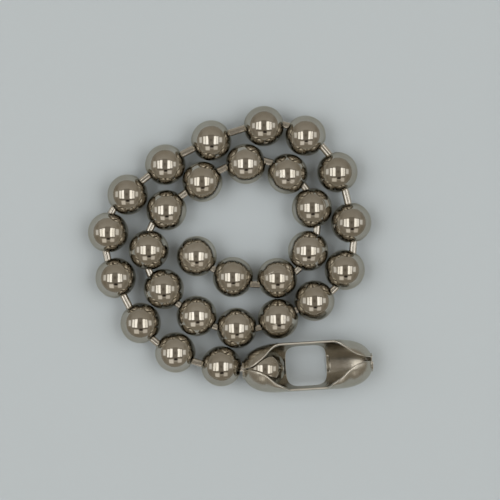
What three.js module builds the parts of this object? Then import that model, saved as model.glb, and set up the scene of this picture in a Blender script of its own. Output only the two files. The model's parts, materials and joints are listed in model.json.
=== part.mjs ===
// Ball chain with a snap coupling, lying as a flat spiral of about two turns.
// Millimetres, +Z up. The table is Z = 0 and the origin is on the table, under the middle of the box
// that holds the whole chain as it lies.
//
// Pieces: hollow beads, the dumbbell links that join them, and one folded sheet-metal coupling.
// Every bead is a thin shell with two opposite holes. Every link is a short shaft with a head at each
// end, and the heads are held inside two neighbouring beads.
import * as THREE from 'three';

const { clamp, degToRad, lerp } = THREE.MathUtils;
const vec = (x, y, z) => new THREE.Vector3(x, y, z);

// ---------------------------------------------------------------- materials
const nickel = ({ color, roughness }) =>
  new THREE.MeshStandardMaterial({ color, roughness, metalness: 1 });
const beadSteel = nickel({ color: 0xb7afa3, roughness: 0.14 });
const linkSteel = nickel({ color: 0xc4bfb6, roughness: 0.22 });
const shellSteel = nickel({ color: 0xa9a195, roughness: 0.3 });

// ---------------------------------------------------------------- layout of the chain
const BEAD_R = 3.175;          // outer radius, a 1/4 in bead
const BEAD_WALL = 0.4;
const HOLE_DISTANCE = BEAD_R - BEAD_WALL / 2;  // from a bead's centre to the middle of its hole wall

// Middle of the coiled chain in the plan numbers used by the tables below.
const PLAN_MIDDLE = { x: -3.19472, y: 0.21013 };

// The coupled bead sits in the coupling's socket, above the others.
const COUPLED_BEAD = vec(2.304, -18.858, 3.66);
const SECOND_BEAD_PITCH = degToRad(2);         // nose up towards the coupling

// The other beads, from the coupling on: centre x, centre y, direction of the hole axis in degrees.
const TABLE_BEADS = [
  [-4.680, -18.504, 173.50], [-12.024, -16.320, 153.30], [-17.576, -11.600, 125.70],
  [-21.560, -4.392, 113.92], [-22.760, 2.880, 82.78], [-19.656, 8.936, 43.97],
  [-13.626, 13.725, 32.63], [-6.280, 17.584, 23.46], [2.136, 19.896, 5.45],
  [8.800, 18.360, -31.48], [13.888, 12.520, -66.07], [16.096, 4.440, -82.12],
  [15.064, -3.104, -115.43], [10.220, -8.038, -152.59], [4.413, -10.941, -154.24],
  [-2.216, -12.400, 178.32], [-8.600, -10.456, 148.42], [-13.880, -6.160, 133.00],
  [-16.272, 0.080, 88.57], [-13.440, 6.464, 44.12], [-7.710, 11.011, 33.56],
  [-0.784, 13.856, 9.32], [5.920, 12.264, -35.44], [9.824, 6.784, -73.85],
  [9.216, -0.040, -116.17], [4.262, -4.438, -160.82], [-2.816, -4.240, 158.09],
  [-8.624, -0.928, 142.74],
];

const entryHole = ({ centre, axis }) => centre.clone().addScaledVector(axis, -HOLE_DISTANCE);
const exitHole = ({ centre, axis }) => centre.clone().addScaledVector(axis, HOLE_DISTANCE);

// Centre and hole axis of every bead, coupled bead first.
function beadPlaces() {
  const places = TABLE_BEADS.map(([x, y, degrees], i) => {
    const heading = degToRad(degrees);
    const pitch = i === 0 ? -SECOND_BEAD_PITCH : 0;
    const axis = vec(
      Math.cos(heading) * Math.cos(pitch),
      Math.sin(heading) * Math.cos(pitch),
      Math.sin(pitch),
    );
    return { centre: vec(x, y, BEAD_R), axis };
  });
  // The coupled bead looks straight down its link.
  const coupledAxis = entryHole(places[0]).sub(COUPLED_BEAD).normalize();
  return [{ centre: COUPLED_BEAD, axis: coupledAxis }, ...places];
}

// Puts a lathe's axis (its local Y) along direction, with local +Z as near straight down as it can be.
function aim(mesh, centre, direction) {
  const y = direction.clone().normalize();
  const down = vec(0, 0, -1);
  const z = down.addScaledVector(y, -down.dot(y)).normalize();
  const x = y.clone().cross(z);
  mesh.quaternion.setFromRotationMatrix(new THREE.Matrix4().makeBasis(x, y, z));
  mesh.position.copy(centre);
}

// A lathe turned half a facet, so that a flat and not a corner faces local +Z.
const facetedLathe = (profile, sides) =>
  new THREE.LatheGeometry(profile, sides, -Math.PI / sides);

const numbered = (name, i) => `${name}_${String(i + 1).padStart(2, '0')}`;

// ---------------------------------------------------------------- beads
const HOLE_R = 0.88;
const BEAD_SIDES = 14;         // facets round the hole axis
const BEAD_BANDS = 7;          // facet bands hole to hole, outside; odd, so one band faces the table
const BEAD_BANDS_IN = 3;       // the same, inside

// Hole-to-hole arc of a sphere's profile, from -Y to +Y.
function beadArc(radius, bands) {
  const holeAngle = Math.asin(HOLE_R / radius);
  return Array.from({ length: bands + 1 }, (_, i) => {
    const angle = lerp(holeAngle, Math.PI - holeAngle, i / bands);
    return new THREE.Vector2(radius * Math.sin(angle), -radius * Math.cos(angle));
  });
}

function beadGeometry() {
  const outside = beadArc(BEAD_R, BEAD_BANDS);
  const inside = beadArc(BEAD_R - BEAD_WALL, BEAD_BANDS_IN).reverse();
  return facetedLathe([...outside, ...inside, outside[0].clone()], BEAD_SIDES);
}

function makeBeads(places) {
  const geometry = beadGeometry();
  return places.map(({ centre, axis }, i) => {
    const mesh = new THREE.Mesh(geometry, beadSteel);
    mesh.name = numbered('bead', i);
    aim(mesh, centre, axis);
    return mesh;
  });
}

// ---------------------------------------------------------------- links
const LINK_SHAFT_R = 0.62;
const LINK_HEAD_R = 1.04;
const LINK_END_R = 0.78;       // flat end face of each head
const LINK_SHOULDER = 1.89;    // half length of the straight shaft
const LINK_FLARE = 0.34;       // length of the cone from shaft to head
const LINK_BEVEL = 0.14;       // length of the bevel at the end face
const LINK_HALF = 2.59;        // half length overall
const LINK_SIDES = 8;

function linkGeometry() {
  const half = [                               // radius, distance from the middle
    [LINK_SHAFT_R, LINK_SHOULDER],
    [LINK_HEAD_R, LINK_SHOULDER + LINK_FLARE],
    [LINK_HEAD_R, LINK_HALF - LINK_BEVEL],
    [LINK_END_R, LINK_HALF],
    [0, LINK_HALF],
  ];
  const mirrored = half.map(([radius, y]) => [radius, -y]).reverse();
  const profile = [...mirrored, ...half].map(([radius, y]) => new THREE.Vector2(radius, y));
  return new THREE.LatheGeometry(profile, LINK_SIDES, Math.PI / LINK_SIDES);
}

// A link runs from the exit hole of one bead to the entry hole of the next, centred between them.
function makeLinks(places) {
  const geometry = linkGeometry();
  return places.slice(1).map((next, i) => {
    const from = exitHole(places[i]);
    const to = entryHole(next);
    const mesh = new THREE.Mesh(geometry, linkSteel);
    mesh.name = numbered('link', i);
    aim(mesh, from.clone().lerp(to, 0.5), to.clone().sub(from));
    return mesh;
  });
}

// ---------------------------------------------------------------- coupling
// A sheet wrapped round the long axis: open along the top, closing over both sockets, with rounded
// ends that stop at the neck openings, and a window in the floor that a bead can pass through.
// Here x is the distance from tip A, and angles go round the axis from the floor, in radians.
const SHELL_R = 3.89;          // outer radius
const SHELL_T = 0.36;          // sheet thickness
const FLOOR_T = 0.26;          // thickness where the underside is flattened
const SHELL_ROLL = degToRad(6.8);              // rolled about its own axis
const AXIS_Z = 3.80;
const TIP_A = vec(-1.312, -19.08, AXIS_Z);     // tip at the chain end
const TIP_B = vec(19.50, -17.80, AXIS_Z);      // free tip
const LENGTH = TIP_A.distanceTo(TIP_B);
const ALONG = TIP_B.clone().sub(TIP_A).normalize();
const ACROSS = vec(-ALONG.y, ALONG.x, 0);

const DOME = 5.76;             // length of each rounded end
const DOME_POWER = { floor: 3.1, side: 2.35 }; // higher is blunter
const UPRIGHT_START = 3.2;     // distance from a tip where the upper wall starts to turn upright
const UPRIGHT_BLEND = 3.2;     // length over which it does so
const ROUND_POWER = 2;         // upper wall section at the tips, a circle
const UPRIGHT_POWER = 4.2;     // and in the middle, nearly square
const RIM_H = 2.12;            // height of the middle rim above the axis
const RIM_START = 3;           // distance from a tip where that rim begins
const NECK_R = 1.15;           // neck opening at each tip

// The sheet's two faces. tuck is how much further than its scaled radius a face draws in at the tips.
const OUTER = { radius: SHELL_R, neck: NECK_R + SHELL_T * 0.9, tuck: 0, floorZ: -AXIS_Z };
const INNER = { radius: SHELL_R - SHELL_T, neck: NECK_R, tuck: 0.25, floorZ: -AXIS_Z + FLOOR_T };

const WINDOW = { start: 6.9, end: 13.6, halfWidth: 3.2 };
const CORNER_LENGTH = 1.1;     // cut across each window corner, along the axis
const CORNER_ANGLE = 0.36;     // the same cut, round the axis

// Lengthwise stations of the mesh.
const STATIONS = [
  0.05, 0.4, 0.9, 1.6, 2.5, 3.6, 4.9, 5.9,
  WINDOW.start, WINDOW.start + CORNER_LENGTH, (WINDOW.start + WINDOW.end) / 2,
  WINDOW.end - CORNER_LENGTH, WINDOW.end,
  14.9, 15.9, 17.2, 18.3, 19.2, 19.9, 20.42, LENGTH - 0.05,
];
const WINDOW_ANGLE = Math.asin(WINDOW.halfWidth / INNER.radius);
const FLOOR_ANGLES = [
  -WINDOW_ANGLE, -WINDOW_ANGLE + CORNER_ANGLE, -0.2,
  0.2, WINDOW_ANGLE - CORNER_ANGLE, WINDOW_ANGLE,
];
const SIDE_STRIPS = 4;         // between the window and each mouth edge

// Plan outline of the mouth: x, edge on the +ACROSS side, edge on the -ACROSS side.
const MOUTH = [
  [0, 0.36, 0], [1.05, 0.50, 0.08], [1.75, 0.80, -0.07], [2.5, 1.36, -0.3],
  [3.55, 2.2, -0.85], [4.25, 2.93, -1.5], [4.8, 3.48, -2.1], [5.5, 3.85, -2.65],
  [6.35, 4.1, -3.1], [7.4, 4.4, -3.7], [9.0, 4.6, -4.4], [12.0, 4.6, -4.4],
  [13.6, 4.35, -3.5], [14.3, 4.16, -2.9], [15.1, 3.88, -2.45], [15.85, 3.48, -1.9],
  [16.75, 2.82, -0.95], [17.55, 2.17, -0.4], [18.3, 1.68, 0], [19.1, 1.38, 0.23],
  [19.9, 1.18, 0.37], [20.85, 1.0, 0.5],
];

const tipDistance = (x) => Math.min(x, LENGTH - x);

// Share of the full radius that the rounded ends leave.
function domeFactor(x, angle) {
  const distance = tipDistance(x);
  if (distance >= DOME) return 1;
  const sideShare = Math.min(1, Math.abs(angle) / (Math.PI / 2));
  const power = lerp(DOME_POWER.floor, DOME_POWER.side, sideShare);
  return Math.pow(1 - Math.pow(1 - distance / DOME, power), 1 / power);
}

// Point of a face as [across, up] from the axis, before the roll.
function unrolledPoint(x, angle, face) {
  const factor = domeFactor(x, angle);
  const radius = Math.max(face.radius * factor - (1 - factor) * face.tuck, face.neck);
  const across = Math.sin(angle);
  const up = -Math.cos(angle);
  if (Math.abs(angle) <= Math.PI / 2) return [radius * across, radius * up];
  const upright = clamp((tipDistance(x) - UPRIGHT_START) / UPRIGHT_BLEND, 0, 1);
  const power = lerp(ROUND_POWER, UPRIGHT_POWER, upright);
  const sum = Math.pow(Math.abs(across), power) + Math.pow(Math.abs(up), power);
  const reach = radius / Math.pow(sum, 1 / power);
  return [reach * across, reach * up];
}

function rolledPoint(x, angle, face) {
  const [across, up] = unrolledPoint(x, angle, face);
  const cos = Math.cos(SHELL_ROLL);
  const sin = Math.sin(SHELL_ROLL);
  return [across * cos + up * sin, up * cos - across * sin];
}

// Mouth outline at x; side is 1 towards +ACROSS and -1 away from it.
function mouthEdge(x, side) {
  let k = 1;
  while (k < MOUTH.length - 1 && MOUTH[k][0] < x) k++;
  const before = MOUTH[k - 1];
  const after = MOUTH[k];
  const column = side > 0 ? 1 : 2;
  return lerp(before[column], after[column], (x - before[0]) / (after[0] - before[0]));
}

// Angle where the wall on one side ends: once it is both above the rim and inside the mouth's edge.
function edgeAngle(x, side) {
  const limit = mouthEdge(x, side);
  const rim = tipDistance(x) > RIM_START ? RIM_H : 0;
  let low = Math.PI / 2;
  let high = Math.PI;
  for (let k = 0; k < 40; k++) {
    const middle = (low + high) / 2;
    const [across, up] = rolledPoint(x, side * middle, OUTER);
    if (up > rim && side * (across - limit) < 0) high = middle;
    else low = middle;
  }
  return low;
}

// Mesh angles at x, from the -ACROSS edge over the floor to the +ACROSS edge.
function rowAngles(x) {
  // Adding the roll keeps the window straight below the axis.
  const floor = FLOOR_ANGLES.map((angle) => angle + SHELL_ROLL);
  const start = -edgeAngle(x, -1);
  const end = edgeAngle(x, 1);
  const angles = [...floor];
  for (let j = SIDE_STRIPS - 1; j >= 0; j--) angles.unshift(lerp(start, floor[0], j / SIDE_STRIPS));
  for (let j = 1; j <= SIDE_STRIPS; j++) angles.push(lerp(floor.at(-1), end, j / SIDE_STRIPS));
  return angles;
}

function facePoints(face) {
  return STATIONS.flatMap((x) => rowAngles(x).flatMap((angle) => {
    const [across, up] = rolledPoint(x, angle, face);
    const point = TIP_A.clone().addScaledVector(ALONG, x).addScaledVector(ACROSS, across);
    point.z += Math.max(up, face.floorZ);
    return point.toArray();
  }));
}

// Triangles of the outer face, leaving the window open.
function outerTriangles() {
  const rows = FLOOR_ANGLES.length + 2 * SIDE_STRIPS;
  const firstI = STATIONS.indexOf(WINDOW.start);
  const lastI = STATIONS.indexOf(WINDOW.end) - 1;
  const firstJ = SIDE_STRIPS;
  const lastJ = firstJ + FLOOR_ANGLES.length - 2;
  const triangles = [];
  for (let i = 0; i + 1 < STATIONS.length; i++) {
    for (let j = 0; j + 1 < rows; j++) {
      const a = i * rows + j;                  // a, b, c, d go round the cell
      const b = a + rows;
      const c = b + 1;
      const d = a + 1;
      const open = i >= firstI && i <= lastI && j >= firstJ && j <= lastJ;
      if (!open) {
        triangles.push([a, c, b], [a, d, c]);
      } else if ((i === firstI || i === lastI) && (j === firstJ || j === lastJ)) {
        // Window corners are cut across, so a corner cell keeps one triangle.
        if (i === firstI) triangles.push(j === firstJ ? [a, d, b] : [a, d, c]);
        else triangles.push(j === firstJ ? [a, c, b] : [b, d, c]);
      }
    }
  }
  return triangles;
}

// Edges that only one triangle uses.
function freeEdges(triangles) {
  const edges = new Map();
  for (const [a, b, c] of triangles) {
    for (const [p, q] of [[a, b], [b, c], [c, a]]) {
      if (!edges.delete(`${q}_${p}`)) edges.set(`${p}_${q}`, [p, q]);
    }
  }
  return [...edges.values()];
}

function couplingGeometry() {
  const points = facePoints(OUTER);
  const toInner = points.length / 3;           // index step from an outer point to its inner one
  const outer = outerTriangles();
  const inner = outer.map(([a, b, c]) => [a + toInner, c + toInner, b + toInner]);
  const edgeWalls = freeEdges(outer).flatMap(([p, q]) => [
    [q, p, p + toInner],
    [q, p + toInner, q + toInner],
  ]);
  const positions = [...points, ...facePoints(INNER)];
  const geometry = new THREE.BufferGeometry();
  geometry.setAttribute('position', new THREE.Float32BufferAttribute(positions, 3));
  geometry.setIndex([...outer, ...inner, ...edgeWalls].flat());
  geometry.computeVertexNormals();
  return geometry;
}

function makeCoupling() {
  const mesh = new THREE.Mesh(couplingGeometry(), shellSteel);
  mesh.name = 'coupling';
  return mesh;
}

// ---------------------------------------------------------------- assembly
const places = beadPlaces();
const chain = new THREE.Group();
chain.position.set(-PLAN_MIDDLE.x, -PLAN_MIDDLE.y, 0);
chain.add(...makeBeads(places), ...makeLinks(places), makeCoupling());

const group = new THREE.Group();
group.add(chain);

export default group;
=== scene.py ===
import json
import math
import random

import bpy
import numpy as np
from mathutils import Matrix, Vector

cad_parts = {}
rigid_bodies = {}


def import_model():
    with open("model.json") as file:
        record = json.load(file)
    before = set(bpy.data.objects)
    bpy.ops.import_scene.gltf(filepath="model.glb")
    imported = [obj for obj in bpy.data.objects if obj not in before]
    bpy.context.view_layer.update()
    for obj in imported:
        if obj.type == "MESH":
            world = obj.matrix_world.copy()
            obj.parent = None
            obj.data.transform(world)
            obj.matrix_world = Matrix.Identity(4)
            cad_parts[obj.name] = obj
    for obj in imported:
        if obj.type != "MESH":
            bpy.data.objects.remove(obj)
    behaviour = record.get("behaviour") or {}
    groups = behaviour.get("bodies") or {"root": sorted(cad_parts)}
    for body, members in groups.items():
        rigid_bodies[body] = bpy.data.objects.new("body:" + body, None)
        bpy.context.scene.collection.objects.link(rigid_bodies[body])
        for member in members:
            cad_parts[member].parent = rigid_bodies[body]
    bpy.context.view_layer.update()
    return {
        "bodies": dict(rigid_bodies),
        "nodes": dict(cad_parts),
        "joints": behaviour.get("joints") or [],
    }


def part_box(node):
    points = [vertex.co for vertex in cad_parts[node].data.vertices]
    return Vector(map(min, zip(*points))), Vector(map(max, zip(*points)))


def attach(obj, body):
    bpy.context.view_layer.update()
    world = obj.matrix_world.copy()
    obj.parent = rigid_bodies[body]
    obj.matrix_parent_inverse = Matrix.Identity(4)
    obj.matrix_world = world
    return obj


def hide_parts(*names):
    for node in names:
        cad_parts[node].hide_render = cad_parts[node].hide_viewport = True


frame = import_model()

JOINT = {j["name"]: j for j in frame["joints"]}
N_BEADS = sum(1 for n in frame["nodes"] if n.startswith("bead_"))
MM = 0.001

# ------------------------------------------------------------------ sizes, in millimetres
BEAD_R, BEAD_WALL, HOLE_R = 3.235, 0.43, 0.88              # the round bead stands just outside its faceted solid
SHAFT_R, HEAD_R, SHOULDER, HALF = 0.62, 1.04, 1.89, 2.59
SHELL_R, SHELL_T, ROLL, AXIS_Z = 3.89, 0.36, math.radians(6.8), 3.80
DOME, RIM_H, NECK_R = 5.76, 2.12, 1.15
WINDOW = (6.9, 13.6)
WINDOW_HALF = 3.2
WOBBLE = 0.036                                             # slope of a bead's unevenness, mm per radian
CAST = 1.6                                                 # how much more light they cast than they show
PANE = 1.84                                                # radiance of the bright windows
PHOTO_CENTRE = Vector((0.00311472, -0.00013013, 0.0))     # the plan point under the camera


def smoothstep(t):
    t = np.clip(t, 0.0, 1.0)
    return t * t * (3 - 2 * t)


def make_mesh(name, verts_mm, faces, smooth=True):
    me = bpy.data.meshes.new(name)
    me.from_pydata((np.asarray(verts_mm, float) * MM).tolist(), [], faces)
    me.validate()
    me.update()
    if smooth:
        me.shade_smooth()
    return me


def add_object(name, me, material):
    ob = bpy.data.objects.new(name, me)
    bpy.context.scene.collection.objects.link(ob)
    me.materials.clear()
    me.materials.append(material)
    return ob


# ------------------------------------------------------------------ node helper
class Nodes:
    def __init__(self, tree):
        self.t = tree
        self.n = tree.nodes
        self.l = tree.links

    def new(self, kind, **props):
        node = self.n.new(kind)
        for k, v in props.items():
            setattr(node, k, v)
        return node

    def put(self, socket, value):
        if isinstance(value, bpy.types.NodeSocket):
            self.l.new(value, socket)
        elif value is not None:
            socket.default_value = value

    def math(self, op, a, b=None, c=None, clamp=False):
        m = self.new("ShaderNodeMath", operation=op, use_clamp=clamp)
        self.put(m.inputs[0], a)
        self.put(m.inputs[1], b)
        self.put(m.inputs[2], c)
        return m.outputs[0]

    def step(self, x, lo, hi):
        m = self.new("ShaderNodeMapRange", interpolation_type="SMOOTHSTEP")
        self.put(m.inputs["Value"], x)
        m.inputs["From Min"].default_value = lo
        m.inputs["From Max"].default_value = hi
        return m.outputs["Result"]

    def band(self, x, lo, hi, soft):
        return self.math("MULTIPLY", self.step(x, lo - soft, lo + soft), self.math("SUBTRACT", 1.0, self.step(x, hi - soft, hi + soft)))

    def rect(self, u, v, u0, u1, v0, v1, soft):
        return self.math("MULTIPLY", self.band(u, u0, u1, soft), self.band(v, v0, v1, soft))

    def mix(self, fac, a, b, kind="MIX"):
        m = self.new("ShaderNodeMix", data_type="RGBA", blend_type=kind)
        self.put(m.inputs["Factor"], fac)
        self.put(m.inputs[6], a)
        self.put(m.inputs[7], b)
        return m.outputs[2]

    def noise(self, vec, scale, detail=3.0, rough=0.5, w=None):
        m = self.new("ShaderNodeTexNoise")
        if w is not None:
            m.noise_dimensions = "4D"
            self.put(m.inputs["W"], w)
        self.put(m.inputs["Vector"], vec)
        m.inputs["Scale"].default_value = scale
        m.inputs["Detail"].default_value = detail
        m.inputs["Roughness"].default_value = rough
        return m.outputs["Fac"]

    def scaled(self, vec, sx, sy, sz):
        m = self.new("ShaderNodeMapping")
        self.put(m.inputs["Vector"], vec)
        m.inputs["Scale"].default_value = (sx, sy, sz)
        return m.outputs["Vector"]

    def bump(self, height, strength, distance, normal=None):
        m = self.new("ShaderNodeBump")
        m.inputs["Strength"].default_value = strength
        m.inputs["Distance"].default_value = distance
        self.put(m.inputs["Height"], height)
        self.put(m.inputs["Normal"], normal)
        return m.outputs["Normal"]


def new_material(name):
    m = bpy.data.materials.new(name)
    m.use_nodes = True
    m.node_tree.nodes.clear()
    k = Nodes(m.node_tree)
    out = k.new("ShaderNodeOutputMaterial")
    p = k.new("ShaderNodeBsdfPrincipled")
    k.l.new(p.outputs[0], out.inputs[0])
    return m, k, p


def bead_material():
    m, k, p = new_material("bead_nickel")
    tc = k.new("ShaderNodeTexCoord")
    rnd = k.new("ShaderNodeObjectInfo").outputs["Random"]
    w = k.math("MULTIPLY", rnd, 40.0)
    pos = tc.outputs["Object"]
    cloud = k.noise(pos, 420.0, 3.0, 0.55, w)
    fine = k.noise(pos, 2600.0, 4.0, 0.6, w)
    warm = k.mix(k.step(cloud, 0.35, 0.68), (0.485, 0.458, 0.408, 1), (0.445, 0.412, 0.352, 1))
    p.inputs["Specular Tint"].default_value = (0.80, 0.775, 0.70, 1)
    tone = k.math("MULTIPLY_ADD", rnd, 0.08, 0.96)
    tint = k.mix(1.0, warm, k.new("ShaderNodeCombineColor").outputs[0], "MULTIPLY")
    cc = tint.node.inputs[7].links[0].from_node
    for i in range(3):
        k.put(cc.inputs[i], tone)
    k.put(p.inputs["Base Color"], tint)
    p.inputs["Metallic"].default_value = 1.0
    k.put(p.inputs["Roughness"], k.math("MULTIPLY_ADD", fine, 0.06, k.math("MULTIPLY_ADD", cloud, 0.05, 0.02)))
    # drawn lines from forming the shell run from hole to hole, with slow ripples in the sheet
    lines = k.noise(k.scaled(pos, 5200.0, 5200.0, 500.0), 1.0, 3.0, 0.6, w)
    ripple = k.noise(pos, 330.0, 1.5, 0.5, w)
    n1 = k.bump(ripple, 0.30, 0.00006)
    n2 = k.bump(lines, 0.10, 0.00001, n1)
    k.put(p.inputs["Normal"], n2)
    return m


def link_material():
    m, k, p = new_material("link_nickel")
    tc = k.new("ShaderNodeTexCoord")
    rnd = k.new("ShaderNodeObjectInfo").outputs["Random"]
    w = k.math("MULTIPLY", rnd, 30.0)
    pos = tc.outputs["Object"]
    cloud = k.noise(pos, 900.0, 3.0, 0.5, w)
    k.put(p.inputs["Base Color"], k.mix(cloud, (0.60, 0.575, 0.525, 1), (0.50, 0.47, 0.42, 1)))
    p.inputs["Metallic"].default_value = 1.0
    k.put(p.inputs["Roughness"], k.math("MULTIPLY_ADD", cloud, 0.10, 0.12))
    lines = k.noise(k.scaled(pos, 7000.0, 7000.0, 260.0), 1.0, 3.0, 0.6, w)
    k.put(p.inputs["Normal"], k.bump(lines, 0.35, 0.00002))
    return m


def coupling_material():
    m, k, p = new_material("coupling_nickel")
    tc = k.new("ShaderNodeTexCoord")
    pos = tc.outputs["Object"]
    rim = k.new("ShaderNodeAttribute", attribute_name="rim").outputs["Fac"]
    hollow = k.new("ShaderNodeAttribute", attribute_name="hollow").outputs["Fac"]
    cloud = k.noise(pos, 240.0, 4.0, 0.55)
    grain = k.noise(pos, 3800.0, 5.0, 0.7)
    blotch = k.noise(pos, 900.0, 4.0, 0.6)
    base = k.mix(k.step(cloud, 0.3, 0.7), (0.50, 0.475, 0.42, 1), (0.445, 0.415, 0.355, 1))
    base = k.mix(k.math("MULTIPLY", k.step(blotch, 0.52, 0.72), 0.35), base, (0.38, 0.345, 0.28, 1))
    # painted highlight: the rounded sheet edges (the rim attribute) get a paler colour, so they show as bright lines
    # along the mouth and window
    base = k.mix(k.math("MULTIPLY", rim, 0.85), base, (0.78, 0.76, 0.71, 1))
    k.put(p.inputs["Base Color"], base)
    p.inputs["Specular Tint"].default_value = (0.86, 0.85, 0.80, 1)
    p.inputs["Metallic"].default_value = 1.0
    rough = k.math("MULTIPLY_ADD", grain, 0.13, k.math("MULTIPLY_ADD", cloud, 0.08, k.math("MULTIPLY_ADD", hollow, 0.02, 0.10)))
    k.put(p.inputs["Roughness"], k.math("MULTIPLY_ADD", rim, 0.16, rough, clamp=True))
    # rolling lines of the sheet run across the coupling, and the sheared edges are coarser
    lines = k.noise(k.scaled(pos, 3600.0, 260.0, 260.0), 1.0, 4.0, 0.65)
    shear = k.noise(k.scaled(pos, 9000.0, 9000.0, 1200.0), 1.0, 2.0, 0.5)
    n1 = k.bump(lines, 0.85, 0.00003)
    n2 = k.bump(grain, 0.32, 0.00001, n1)
    n3 = k.bump(k.math("MULTIPLY", shear, rim), 0.5, 0.00003, n2)
    k.put(p.inputs["Normal"], n3)
    return m


def paper_material():
    m, k, p = new_material("paper")
    tc = k.new("ShaderNodeTexCoord")
    pos = tc.outputs["Object"]
    cloud = k.noise(pos, 18.0, 3.0, 0.5)
    fibre = k.noise(k.scaled(pos, 2200.0, 1500.0, 1500.0), 1.0, 5.0, 0.6)
    base = k.mix(cloud, (0.528, 0.588, 0.634, 1), (0.544, 0.602, 0.646, 1))
    k.put(p.inputs["Base Color"], k.mix(k.math("MULTIPLY", fibre, 0.08), base, (0.47, 0.52, 0.56, 1)))
    p.inputs["Roughness"].default_value = 0.85
    p.inputs["Specular IOR Level"].default_value = 0.25
    k.put(p.inputs["Normal"], k.bump(fibre, 0.25, 0.00003))
    return m


M_BEAD, M_LINK, M_SHELL = bead_material(), link_material(), coupling_material()


# ------------------------------------------------------------------ beads
def bead_mesh(name, seam_depth, seed):
    """A shell of revolution about local Z with rolled-in hole lips and a shallow seam from hole to hole.

    Each bead is a few hundredths of a millimetre out of round, as stamped beads are."""
    wob = np.random.RandomState(seed)
    waves = [(wob.normal(size=3), wob.uniform(0, 2 * math.pi), k) for k in (3.0, 4.5, 6.0, 8.0, 11.0, 15.0)]
    ri = BEAD_R - BEAD_WALL
    lip = 0.13
    prof = []                                              # (radius, height, how much the seam shows)
    a0 = math.asin((HOLE_R + lip) / BEAD_R)
    steps = 46
    for i in range(steps + 1):
        a = a0 + (math.pi - 2 * a0) * i / steps
        prof.append((BEAD_R * math.sin(a), -BEAD_R * math.cos(a), 1.0))
    # lip at the top hole, rolling from the outside to the bore
    top = []
    zo = BEAD_R * math.cos(a0)
    for i in range(1, 6):
        t = i / 5 * math.pi / 2
        top.append((HOLE_R + lip - lip * math.sin(t) + (lip * 0.0), zo - lip * (1 - math.cos(t)) - 0.004, 0.5))
    zi = math.sqrt(ri * ri - HOLE_R * HOLE_R)
    top.append((HOLE_R, (top[-1][1] + zi) / 2, 0.0))
    prof += top
    b0 = math.asin(HOLE_R / ri)
    for i in range(19):
        a = b0 + (math.pi - 2 * b0) * i / 18
        prof.append((ri * math.sin(a), ri * math.cos(a), 0.0))
    prof += [(r, -z, s) for r, z, s in reversed(top)]
    prof = np.array(prof)
    az = sorted(set([round(x, 5) for x in np.linspace(0, 2 * math.pi, 81)[:-1]]
                    + [round(s * x % (2 * math.pi), 5) for x in (0.006, 0.012, 0.02, 0.034) for s in (1, -1)]))
    az = np.array(az)
    na, npf = len(az), len(prof)
    A, R, Z, S = az[:, None], prof[None, :, 0], prof[None, :, 1], prof[None, :, 2]
    arc = np.minimum(A, 2 * math.pi - A) * np.maximum(R, 0.8)
    shape = 1 - S * seam_depth * np.exp(-(arc / 0.035) ** 2) / BEAD_R
    P = np.stack([R * np.cos(A), R * np.sin(A), Z + 0 * A], -1)
    unit = P / np.linalg.norm(P, axis=-1, keepdims=True)
    bumps = sum(np.sin(k * (unit @ (d / np.linalg.norm(d))) + ph) * WOBBLE / k for d, ph, k in waves)
    bumps = np.clip(bumps - bumps.mean(), -0.03, 0.010)
    verts = (P * (shape + S * bumps / BEAD_R)[..., None]).reshape(-1, 3)
    faces = []
    for i in range(na):
        i2 = (i + 1) % na
        for j in range(npf):
            j2 = (j + 1) % npf
            faces.append((i * npf + j, i2 * npf + j, i2 * npf + j2, i * npf + j2))
    return make_mesh(name, verts, faces)


def link_mesh(name, seam_at, seed):
    """A dumbbell about local Z rolled from strip: a slightly flattened tube with an open seam, and a domed head at each end.

    Local +Y is the side that faces up when the link lies level; the seam is at the azimuth seam_at."""
    wob = np.random.RandomState(seed)
    half = []
    for z in np.linspace(0, SHOULDER - 0.05, 11):
        half.append((SHAFT_R - 0.012 * (1 - z / SHOULDER), z, 1.0))
    for t in np.linspace(0, 1, 7)[1:]:
        half.append((SHAFT_R + (HEAD_R - SHAFT_R - 0.02) * smoothstep(t), SHOULDER - 0.05 + 0.39 * t, 1.0 - t))
    for t in np.linspace(0, math.pi / 2, 6)[1:]:
        half.append((HEAD_R - 0.30 * (1 - math.cos(t)), SHOULDER + 0.34 + (HALF - SHOULDER - 0.34) * math.sin(t), 0.0))
    prof = [(r, -z, s) for r, z, s in reversed(half)] + half[1:]
    prof = np.array(prof)
    az = np.array(sorted(set([round(x, 5) for x in np.linspace(0, 2 * math.pi, 57)[:-1]]
                             + [round((seam_at + x) % (2 * math.pi), 5) for x in (0, 0.03, -0.03, 0.07, -0.07, 0.12, -0.12, 0.2, -0.2)])))
    na, npf = len(az), len(prof)
    A, R, Z, S = az[:, None], prof[None, :, 0], prof[None, :, 1], prof[None, :, 2]
    d = np.abs((A - seam_at + math.pi) % (2 * math.pi) - math.pi)
    # flattened a little on top and underneath, full width at the sides
    flat = 1 - S * 0.17 * np.abs(np.sin(A)) ** 2.5
    seam = 1 - S * (0.15 * np.exp(-(d / 0.055) ** 2) + 0.03 * np.exp(-(d / 0.20) ** 2))
    dent = 1 - S * 0.012 * (1 + np.sin(Z * wob.uniform(1.5, 3.0) + A + wob.uniform(0, 6)))
    rr = R * flat * seam * dent
    verts = np.stack([rr * np.cos(A), rr * np.sin(A), Z + 0 * A], -1).reshape(-1, 3)
    faces = []
    for i in range(na):
        i2 = (i + 1) % na
        for j in range(npf - 1):
            faces.append((i * npf + j, i2 * npf + j, i2 * npf + j + 1, i * npf + j + 1))
    faces.append(tuple(reversed([i * npf for i in range(na)])))
    faces.append(tuple(i * npf + npf - 1 for i in range(na)))
    return make_mesh(name, verts, faces)


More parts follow.
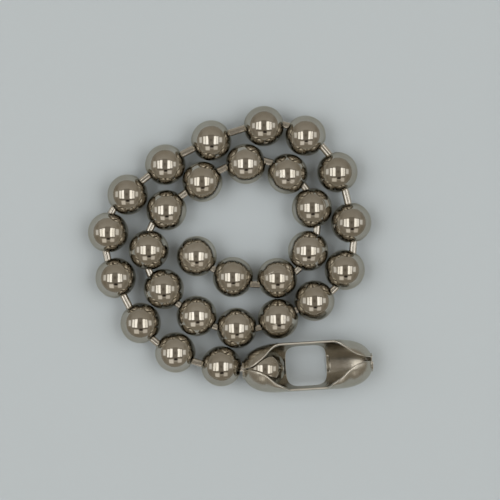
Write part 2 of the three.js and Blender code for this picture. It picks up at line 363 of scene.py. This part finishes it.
def placed(name, me, material, centre, axis, spin, body, node):
    z = axis.normalized()
    x = Vector((0, 0, 1)).cross(z).normalized()
    y = z.cross(x)
    m = Matrix((x, y, z)).transposed().to_4x4()
    ob = add_object(name, me, material)
    ob.matrix_world = Matrix.Translation(centre) @ m @ Matrix.Rotation(spin, 4, "Z")
    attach(ob, body)
    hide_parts(node)
    return ob


def centre_of(node):
    lo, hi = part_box(node)
    return (lo + hi) / 2


rng = random.Random(7)
entry, leave = {}, {}
for i in range(1, N_BEADS):
    leave[i] = Vector(JOINT["link_%02d_swing" % i]["pos_m"])
    mid = centre_of("link_%02d" % i)
    entry[i + 1] = 2 * mid - leave[i]

beads, links = [], []
for i in range(1, N_BEADS + 1):
    node = "bead_%02d" % i
    if i == 1:
        c = centre_of(node)
        ax = leave[1] - c
    elif i == N_BEADS:
        c = centre_of(node)
        ax = c - entry[i]
    else:
        c = (entry[i] + leave[i]) / 2
        ax = leave[i] - entry[i]
    me = bead_mesh("bead_shell_%02d" % i, 0.007 + 0.005 * (i % 2), 100 + i)
    if i == 1:
        me.transform(Matrix.Scale(0.985, 4))                 # the coupled bead turns freely in its socket
    beads.append(placed("bead_shell_%02d" % i, me, M_BEAD, c, ax, rng.uniform(0, 2 * math.pi), node, node))
for i in range(1, N_BEADS):
    node = "link_%02d" % i
    if i % 4 == 3:
        seam_at = rng.uniform(-2.2, 2.2)                     # seam turned under: its smooth back shows
    else:
        seam_at = math.pi / 2 + rng.uniform(-0.42, 0.42)
    links.append(placed("link_pin_%02d" % i, link_mesh("link_pin_%02d" % i, seam_at % (2 * math.pi), i), M_LINK,
                        (leave[i] + entry[i + 1]) / 2, entry[i + 1] - leave[i], 0.0, node, node))


# ------------------------------------------------------------------ coupling
ALONG = np.array(JOINT["bead_01_spin"]["axis"], float)
ALONG /= np.linalg.norm(ALONG)
ACROSS = np.array([-ALONG[1], ALONG[0], 0.0])


def coupling_ends():
    """The coupling's axis from the CAD solid: its two flat ends, and the middle of its round underside."""
    co = np.array([v.co for v in frame["nodes"]["coupling"].data.vertices]) / MM
    a = co @ ALONG
    low = (co @ ACROSS)[co[:, 2] < AXIS_Z]
    base = ACROSS * (low.min() + low.max()) / 2 + np.array([0, 0, AXIS_Z])
    return base + ALONG * a.min(), base + ALONG * a.max()


TIP_A, TIP_B = coupling_ends()
LENGTH = float(np.linalg.norm(TIP_B - TIP_A))
MOUTH = np.array([
    [0, 0.36, 0], [1.05, 0.50, 0.08], [1.75, 0.80, -0.07], [2.5, 1.36, -0.3], [3.55, 2.2, -0.85], [4.25, 2.93, -1.5],
    [4.8, 3.48, -2.1], [5.5, 3.85, -2.65], [6.35, 4.1, -3.1], [7.4, 4.4, -3.7], [9.0, 4.6, -4.4], [12.0, 4.6, -4.4],
    [13.6, 4.35, -3.5], [14.3, 4.16, -2.9], [15.1, 3.88, -2.45], [15.85, 3.48, -1.9], [16.75, 2.82, -0.95],
    [17.55, 2.17, -0.4], [18.3, 1.68, 0], [19.1, 1.38, 0.23], [19.9, 1.18, 0.37], [20.85, 1.0, 0.5]])


def lip(x, th):
    """How far the floor curls up along the window's two short edges, to stop a bead rolling out."""
    near = x < (WINDOW[0] + WINDOW[1]) / 2
    rise = np.where(near, (x - WINDOW[0]) / 0.80, (WINDOW[1] - x) / 0.54) + 1
    rise = np.clip(rise, 0, 1) ** np.where(near, 1.15, 1.4)
    across = smoothstep((1.50 - np.abs(np.sin(th)) * SHELL_R) / 0.4)
    return np.where(near, 0.90, 0.38) * rise * across * (np.abs(th) < math.pi / 2)


def wall(x, th, radius, inner):
    m = np.minimum(x, LENGTH - x)
    s = np.abs(th)
    p = np.minimum(1, s / (math.pi / 2))
    n = 3.1 - 0.75 * p
    f = np.where(m >= DOME, 1.0, (1 - np.clip(1 - m / DOME, 0, 1) ** n) ** (1 / n))
    if inner:
        r = np.maximum(radius * f - (1 - f) * 0.25, NECK_R)
    else:
        r = np.maximum(radius * f, NECK_R + SHELL_T * 0.9)
    r = r - lip(x, th - ROLL)
    mid = np.clip((m - 3.2) / 3.2, 0, 1)
    k = 2 + 2.2 * smoothstep(mid)
    c, d = np.abs(np.sin(th)), np.abs(np.cos(th))
    ru = r / (c ** k + d ** k) ** (1 / k)
    upper = s > math.pi / 2
    u = np.where(upper, np.sign(th) * ru * c, r * np.sin(th))
    v = np.where(upper, ru * d, -r * np.cos(th))
    return u, v


def rolled(x, th, radius, inner=False):
    u, v = wall(x, th, radius, inner)
    return u * math.cos(ROLL) + v * math.sin(ROLL), v * math.cos(ROLL) - u * math.sin(ROLL)


def mouth_at(x, side):
    """Smooth monotone interpolation of the mouth's plan outline."""
    xs, ys = MOUTH[:, 0], MOUTH[:, 1 if side > 0 else 2]
    h = np.diff(xs)
    d = np.diff(ys) / h
    s = np.zeros(len(xs))
    s[1:-1] = np.where(d[:-1] * d[1:] > 0, 2 * d[:-1] * d[1:] / (d[:-1] + d[1:] + 1e-12), 0)
    s[0], s[-1] = d[0], d[-1]
    k = np.clip(np.searchsorted(xs, x) - 1, 0, len(h) - 1)
    t = (x - xs[k]) / h[k]
    return (ys[k] * (1 + 2 * t) * (1 - t) ** 2 + s[k] * h[k] * t * (1 - t) ** 2 + ys[k + 1] * t * t * (3 - 2 * t) + s[k + 1] * h[k] * t * t * (t - 1))


def edge_angle(xs, side):
    limit = mouth_at(xs, side)
    m = np.minimum(xs, LENGTH - xs)
    rim = np.where(m > 3, RIM_H, 0.0)
    lo, hi = np.full(len(xs), math.pi / 2), np.full(len(xs), math.pi)
    for _ in range(45):
        mid = (lo + hi) / 2
        y, z = rolled(xs, side * mid, SHELL_R)
        cut = (z > rim) & (side * (y - limit) < 0)
        hi = np.where(cut, mid, hi)
        lo = np.where(cut, lo, mid)
    return lo


def coupling_object():
    t = np.linspace(0.10, math.pi / 2, 44)
    left = DOME * (1 - np.cos(t))
    middle = np.linspace(DOME, LENGTH - DOME, 112)[1:-1]
    xs = np.concatenate([left, middle, (LENGTH - left)[::-1]])
    cols, rows = len(xs), 121
    e_hi, e_lo = edge_angle(xs, 1), edge_angle(xs, -1)
    for e in (e_hi, e_lo):                                 # soften the corners where the wings meet the rim
        for _ in range(6):
            e[1:-1] = 0.25 * e[:-2] + 0.5 * e[1:-1] + 0.25 * e[2:]
    X = np.repeat(xs[:, None], rows, 1)
    T = np.zeros((cols, rows))
    for i in range(cols):
        a, b, c = -e_lo[i], ROLL, e_hi[i]
        q = np.linspace(-1, 1, rows)
        T[i] = np.where(q < 0, b + (b - a) * q, b + (c - b) * q)
    # window: a rounded square through the floor, measured in plan
    xm, xh = (WINDOW[0] + WINDOW[1]) / 2, (WINDOW[1] - WINDOW[0]) / 2
    th_h = math.asin(WINDOW_HALF / (SHELL_R - SHELL_T))

    def field(x, th):
        a = np.abs(x - xm) / xh
        b = np.abs(np.sin(np.clip(th - ROLL, -1.5, 1.5))) / math.sin(th_h)
        n = 4.2
        f = (a ** n + b ** n) ** (1 / n)
        return np.where(np.abs(th - ROLL) > 1.5, 9.0, f)

    F = field(X, T)
    inside = F < 1
    # snap inside vertices that still hold a face onto the window's outline
    keep = np.ones((cols - 1, rows - 1), bool)
    q = inside[:-1, :-1] & inside[1:, :-1] & inside[1:, 1:] & inside[:-1, 1:]
    keep &= ~q
    used = np.zeros((cols, rows), bool)
    used[:-1, :-1] |= keep
    used[1:, :-1] |= keep
    used[1:, 1:] |= keep
    used[:-1, 1:] |= keep
    snap = inside & used
    sx = X[snap] - xm
    sy = np.sin(T[snap] - ROLL)
    f = F[snap]
    X = X.copy()
    X[snap] = xm + sx / f
    T[snap] = ROLL + np.arcsin(np.clip(sy / f, -1, 1))
    idx = -np.ones((cols, rows), int)
    order = np.argwhere(used)
    idx[used] = np.arange(len(order))
    xv, tv = X[used], T[used]

    def sheet(radius, inner):
        y, z = rolled(xv, tv, radius, inner)
        z = np.maximum(z, -AXIS_Z + (0.26 if inner else 0.0))
        return TIP_A + xv[:, None] * ALONG + y[:, None] * ACROSS + z[:, None] * np.array([0, 0, 1.0])

    outer, inner = sheet(SHELL_R, False), sheet(SHELL_R - SHELL_T, True)
    n = len(xv)
    quads = [(idx[i, j], idx[i, j + 1], idx[i + 1, j + 1], idx[i + 1, j]) for i in range(cols - 1) for j in range(rows - 1) if keep[i, j]]
    edges = {}
    for f_ in quads:
        for p, q_ in zip(f_, f_[1:] + f_[:1]):
            if (q_, p) in edges:
                del edges[(q_, p)]
            else:
                edges[(p, q_)] = True
    # rounded rim: from each free edge of the outer sheet, round to the same edge of the inner sheet
    nxt = {p: q_ for p, q_ in edges}
    out_dir = {}
    prv = {q_: p for p, q_ in edges}
    for p in nxt:
        tangent = outer[nxt[p]] - outer[prv[p]]
        normal = outer[p] - inner[p]
        d = np.cross(tangent, normal)
        d /= max(np.linalg.norm(d), 1e-9)
        out_dir[p] = d
    verts = [*outer, *inner]
    steps = 5
    ring = {}
    for p in nxt:
        c = (outer[p] + inner[p]) / 2
        a = (outer[p] - inner[p]) / 2
        r = np.linalg.norm(a)
        row = [p]
        for s in range(1, steps):
            ang = math.pi * s / steps
            row.append(len(verts))
            verts.append(c + a * math.cos(ang) + out_dir[p] * r * 0.55 * math.sin(ang))
        row.append(p + n)
        ring[p] = row
    faces = [tuple(int(v) for v in f_) for f_ in quads]
    faces += [tuple(int(v) + n for v in reversed(f_)) for f_ in quads]
    for p, q_ in edges:
        a, b = ring[p], ring[q_]
        for s in range(steps):
            faces.append((int(b[s]), int(a[s]), int(a[s + 1]), int(b[s + 1])))
    # the mesh is kept about its own middle, so its material has local coordinates
    origin = (TIP_A + TIP_B) / 2
    x, y, z = Vector(ALONG), Vector(ACROSS), Vector((0, 0, 1))
    frame_m = Matrix((x, y, z)).transposed()
    verts = (np.array(verts) - origin) @ np.array(frame_m)
    me = make_mesh("coupling_shell", verts, faces)
    rim = np.zeros(len(verts))
    for p in nxt:
        for s, v in enumerate(ring[p]):
            rim[v] = math.sin(math.pi * s / steps) ** 0.5
    me.attributes.new("rim", "FLOAT", "POINT").data.foreach_set("value", rim.astype(np.float32))
    inside_side = np.zeros(len(verts))
    inside_side[n:2 * n] = 1.0
    me.attributes.new("hollow", "FLOAT", "POINT").data.foreach_set("value", inside_side.astype(np.float32))
    ob = add_object("coupling_shell", me, M_SHELL)
    ob.matrix_world = Matrix.Translation(Vector(origin * MM)) @ frame_m.to_4x4()
    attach(ob, "coupling")
    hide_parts("coupling")
    return ob


coupling = coupling_object()


# ------------------------------------------------------------------ stage
def mark(name, where, body=None):
    """An empty point, riding a body if one is named."""
    e = bpy.data.objects.new(name, None)
    bpy.context.scene.collection.objects.link(e)
    e.empty_display_size = 0.001
    if body:
        e.parent = frame["bodies"][body]
        e.matrix_parent_inverse = frame["bodies"][body].matrix_world.inverted()
    e.location = where
    return e


def bead_marks():
    """A point at every bead's middle, and one fixed at the height they all have on the table."""
    marks = [mark("mark_00", (0, 0, 0.003175))]
    for i in range(1, N_BEADS + 1):
        name = "bead_%02d" % i
        marks.append(mark("mark_%02d" % i, Vector(centre_of(name)), name))
    bpy.context.view_layer.update()
    return marks


def follow(obj, index, kind, sources, gain=1.0, offset=0.0):
    """Drive one coordinate of obj by the least, greatest, mean or sum of others: gain * that + offset."""
    curve = obj.driver_add("location", index)
    curve.driver.type = kind
    for i, (e, channel) in enumerate(sources):
        v = curve.driver.variables.new()
        v.name = "v%d" % i
        v.type = "TRANSFORMS"
        v.targets[0].id = e
        v.targets[0].transform_type = channel
        v.targets[0].transform_space = "WORLD_SPACE"
    for m in list(curve.modifiers):
        curve.modifiers.remove(m)
    if gain != 1.0 or offset != 0.0:
        m = curve.modifiers.new("GENERATOR")
        m.mode = "POLYNOMIAL"
        m.poly_order = 1
        m.coefficients = (offset, gain)


def follow_chain(floor, camera, marks):
    """The table stays under the lowest bead, and the camera keeps its direction but backs away
    when the chain is laid out longer than it is at rest. At rest neither one moves."""
    follow(floor, 2, "MIN", [(e, "LOC_Z") for e in marks])
    floor.delta_location.z = -BEAD_R * MM
    low, high, turned, span = (mark("mark_" + n, (0, 0, 0)) for n in ("low", "high", "turned", "span"))
    rest = [[e.matrix_world.translation[i] for e in marks] for i in range(2)]
    for i, channel in enumerate(("LOC_X", "LOC_Y")):
        each = [(e, channel) for e in marks]
        follow(low, i, "MIN", each)
        follow(high, i, "MAX", each)
        follow(turned, i, "MIN", each, gain=-1.0)
        follow(span, i, "SUM", [(high, channel), (turned, channel)])
    middle = [(min(r) + max(r)) / 2 for r in rest]
    longest = max(max(r) - min(r) for r in rest) + 0.018
    fixed = mark("mark_rest", (longest, 0, 0))
    stand = mark("mark_stand", (0, 0, 0))
    for i, channel in enumerate(("LOC_X", "LOC_Y")):
        follow(stand, i, "AVERAGE", [(low, channel), (high, channel)], offset=-middle[i])
    away = camera.data.lens / camera.data.sensor_width
    follow(stand, 2, "MAX", [(span, "LOC_X"), (span, "LOC_Y"), (fixed, "LOC_X")], gain=away, offset=-away * longest)
    camera.parent = stand


def build_floor():
    s = 3.0
    me = bpy.data.meshes.new("floor")
    me.from_pydata([(-s, -s, 0), (s, -s, 0), (s, s, 0), (-s, s, 0)], [], [(0, 1, 2, 3)])
    ob = bpy.data.objects.new("floor", me)
    bpy.context.scene.collection.objects.link(ob)
    me.materials.append(paper_material())
    return ob


def build_world():
    """A soft studio: two window-like lights either side of the zenith, dim fillers, a warm grey room.

    Shapes are laid out in degrees from the zenith, f = (east, north)."""
    w = bpy.data.worlds.new("studio")
    bpy.context.scene.world = w
    w.use_nodes = True
    w.node_tree.nodes.clear()
    k = Nodes(w.node_tree)
    out = k.new("ShaderNodeOutputWorld")
    tc = k.new("ShaderNodeTexCoord")
    sep = k.new("ShaderNodeSeparateXYZ")
    k.l.new(tc.outputs["Generated"], sep.inputs[0])
    x, y, z = sep.outputs
    flat = k.math("MAXIMUM", k.math("SQRT", k.math("ADD", k.math("MULTIPLY", x, x), k.math("MULTIPLY", y, y))), 1e-4)
    g = k.math("DIVIDE", k.math("MULTIPLY", k.math("ARCTAN2", flat, z), 180 / math.pi), flat)
    fx, fy = k.math("MULTIPLY", x, g), k.math("MULTIPLY", y, g)
    ax = k.math("ABSOLUTE", fx)

    lp = k.new("ShaderNodeLightPath")
    glossy = lp.outputs["Is Glossy Ray"]                   # reflections see the windows toned down, as a camera shows them
    cloud = k.noise(tc.outputs["Generated"], 2.4, 2.0, 0.5)
    tone = k.math("ADD", k.math("MULTIPLY", k.step(fy, -75.0, 25.0), 0.75), k.math("MULTIPLY", cloud, 0.5), clamp=True)
    col = k.mix(tone, (0.27, 0.232, 0.178, 1), (0.445, 0.412, 0.36, 1))
    side = k.math("MULTIPLY", k.band(ax, 55.0, 88.0, 8.0), k.math("SUBTRACT", 1.0, k.band(fy, -20.0, 20.0, 12.0)))
    col = k.mix(k.math("MULTIPLY", side, 0.55), col, (0.20, 0.165, 0.115, 1))
    th = k.math("MULTIPLY", g, flat)
    col = k.mix(k.math("MULTIPLY", k.step(th, 38.0, 74.0), 0.42), col, (0.27, 0.238, 0.19, 1))
    col = k.mix(k.math("MULTIPLY", k.step(th, 72.0, 90.0), 0.80), col, (0.36, 0.352, 0.318, 1))
    # the dark upright between the windows, with a darker middle where the viewer stands
    gap = k.rect(fx, fy, -14.5, 14.5, -31.0, 28.0, 1.2)
    col = k.mix(k.math("MULTIPLY", gap, 0.85), col, (0.27, 0.242, 0.205, 1))
    r = k.math("SQRT", k.math("ADD", k.math("MULTIPLY", fx, fx), k.math("MULTIPLY", k.math("MULTIPLY", fy, fy), 0.7)))
    col = k.mix(k.math("MULTIPLY", k.math("SUBTRACT", 1.0, k.step(r, 4.0, 10.0)), 0.75), col, (0.15, 0.13, 0.105, 1))
    col = k.mix(k.math("MULTIPLY", k.rect(fx, fy, -13.0, 15.0, 26.5, 31.0, 1.4), 0.6), col, (0.16, 0.135, 0.105, 1))
    # a dark sill under them, deepest in the middle
    col = k.mix(k.math("MULTIPLY", k.rect(fx, fy, -44.0, 43.0, -32.0, -26.5, 1.6), 0.55), col, (0.16, 0.13, 0.10, 1))
    # pale fillers below the sill
    col = k.mix(k.math("MULTIPLY", k.rect(fx, fy, -33.0, -8.0, -60.0, -37.0, 3.2), 0.9), col, (1.12, 1.07, 0.99, 1))
    col = k.mix(k.math("MULTIPLY", k.rect(fx, fy, 15.0, 39.0, -57.0, -35.0, 3.2), 0.9), col, (0.95, 0.90, 0.83, 1))
    col = k.mix(k.math("MULTIPLY", k.rect(fx, fy, -6.0, 16.0, -50.0, -44.0, 2.6), 0.40), col, (0.80, 0.76, 0.70, 1))
    e = k.math("SQRT", k.math("ADD", k.math("POWER", k.math("DIVIDE", k.math("SUBTRACT", fx, 4.5), 14.0), 2.0),
                              k.math("POWER", k.math("DIVIDE", k.math("ADD", fy, 37.0), 7.6), 2.0)))
    col = k.mix(k.math("MULTIPLY", k.math("SUBTRACT", 1.0, k.step(e, 0.6, 1.1)), 0.97), col, (0.03, 0.022, 0.018, 1))
    # windows: outer dim ones, then two bright ones in two leaves each
    frame_ = k.math("MAXIMUM", k.rect(fx, fy, -47.0, -13.0, -28.0, 26.0, 1.0), k.rect(fx, fy, 13.0, 45.5, -28.0, 26.0, 1.0))
    col = k.mix(k.math("MULTIPLY", frame_, 0.7), col, (0.17, 0.145, 0.115, 1))
    panes = [(-70.0, -53.0, -15.0, 18.0, 0.52, 2.2), (47.5, 65.0, -12.0, 17.0, 0.54, 2.2),
             (-44.5, -31.8, -23.5, 21.5, 0.92, 0.8), (-29.0, -15.3, -24.5, 23.0, 1.12, 0.8),
             (15.5, 29.0, -24.5, 23.0, 1.12, 0.8), (30.6, 42.0, -23.0, 21.5, 0.84, 0.8)]
    for a, b, c, d, gain, soft in panes:
        lit = k.rect(fx, fy, a, b, c, d, soft)
        seen = (PANE * gain, PANE * 0.985 * gain, PANE * 0.950 * gain, 1)
        cast = (seen[0] * CAST, seen[1] * CAST, seen[2] * CAST, 1)
        col = k.mix(lit, col, k.mix(glossy, cast, seen))
    for at, half, dim in ((-38.0, 0.6, 0.40), (-22.0, 0.5, 0.30), (23.0, 0.5, 0.30), (36.8, 0.5, 0.35)):
        bar = k.rect(fx, fy, at - half, at + half, -24.0, 24.5, 0.35)
        col = k.mix(k.math("MULTIPLY", bar, dim), col, (0.45, 0.42, 0.38, 1))
    # what the camera sees past the floor is plain
    col = k.mix(lp.outputs["Is Camera Ray"], col, (0.47, 0.505, 0.505, 1))
    bg = k.new("ShaderNodeBackground")
    k.put(bg.inputs["Color"], col)
    bg.inputs["Strength"].default_value = 1.0
    k.l.new(bg.outputs[0], out.inputs[0])
    w.cycles.sampling_method = "MANUAL"
    w.cycles.sample_map_resolution = 1024


def build_camera():
    cam = bpy.data.cameras.new("photo_camera")
    ob = bpy.data.objects.new("photo_camera", cam)
    bpy.context.scene.collection.objects.link(ob)
    height, field = 0.300, 0.080                           # the frame is 80 mm wide at the beads' middle
    cam.sensor_width = 36.0
    cam.lens = 36.0 * height / field
    cam.clip_start = 0.01
    ob.location = PHOTO_CENTRE + Vector((0, 0, height + 0.003175))
    ob.rotation_euler = (0, 0, 0)
    bpy.context.scene.camera = ob
    return ob


floor = build_floor()
build_world()
camera = build_camera()
bpy.context.view_layer.update()
follow_chain(floor, camera, bead_marks())
bpy.context.view_layer.update()
bpy.context.scene.view_settings.view_transform = "Standard"
bpy.context.scene.view_settings.look = "None"
